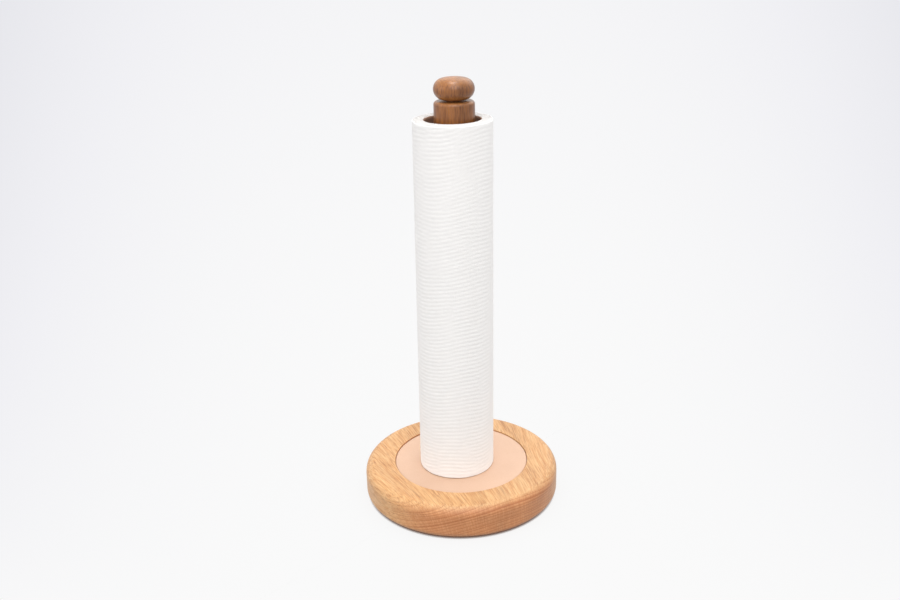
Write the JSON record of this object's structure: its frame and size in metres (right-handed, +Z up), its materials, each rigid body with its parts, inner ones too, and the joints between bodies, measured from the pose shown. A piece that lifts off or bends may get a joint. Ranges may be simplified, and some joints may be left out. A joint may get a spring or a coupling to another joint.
{
  "type": "paper towel holder",
  "caption": "Countertop holder with a turned wooden post on a round wooden base; a paper towel roll turns on the post and lifts off over a rounded knob.",
  "frame": {"origin": "on the surface that the holder stands on, under the centre of its round base", "axes": "+Z up along the post; -Y is the front, with the roll's free sheet towards the back right"},
  "size_m": [0.156, 0.156, 0.335],
  "materials": {
    "oak": "sanded and lightly oiled",
    "post_wood": "sanded and oiled",
    "leather": "undyed vegetable-tanned, smooth",
    "towel_paper": "soft, embossed",
    "paperboard": "matt, spiral wound",
    "dowel_wood": "bare beech",
    "insert_brass": "turned",
    "screw_steel": "zinc plated",
    "foot_rubber": "matt"
  },
  "bodies": {
    "holder": {"base": "oak", "leather_inlay": "leather", "post": "post_wood", "knob": "post_wood", "knob_dowel": "dowel_wood", "threaded_insert": "insert_brass", "base_screw": "screw_steel", "washer": "screw_steel", "foot_1": "foot_rubber", "foot_2": "foot_rubber", "foot_3": "foot_rubber", "foot_4": "foot_rubber"},
    "roll_tube": {"towel_tube": "paperboard"},
    "roll_towels": {"towels": "towel_paper"}
  },
  "joints": [
    {"name": "roll_lift", "type": "slide", "parent": "holder", "child": "roll_tube", "axis": [0, 0, 1], "range_m": [0, 0.33]},
    {"name": "roll_spin", "type": "hinge", "parent": "roll_tube", "child": "roll_towels", "pos_m": [-0.0014, -0.0009, 0.026], "axis": [0, 0, 1], "continuous": true}
  ]
}
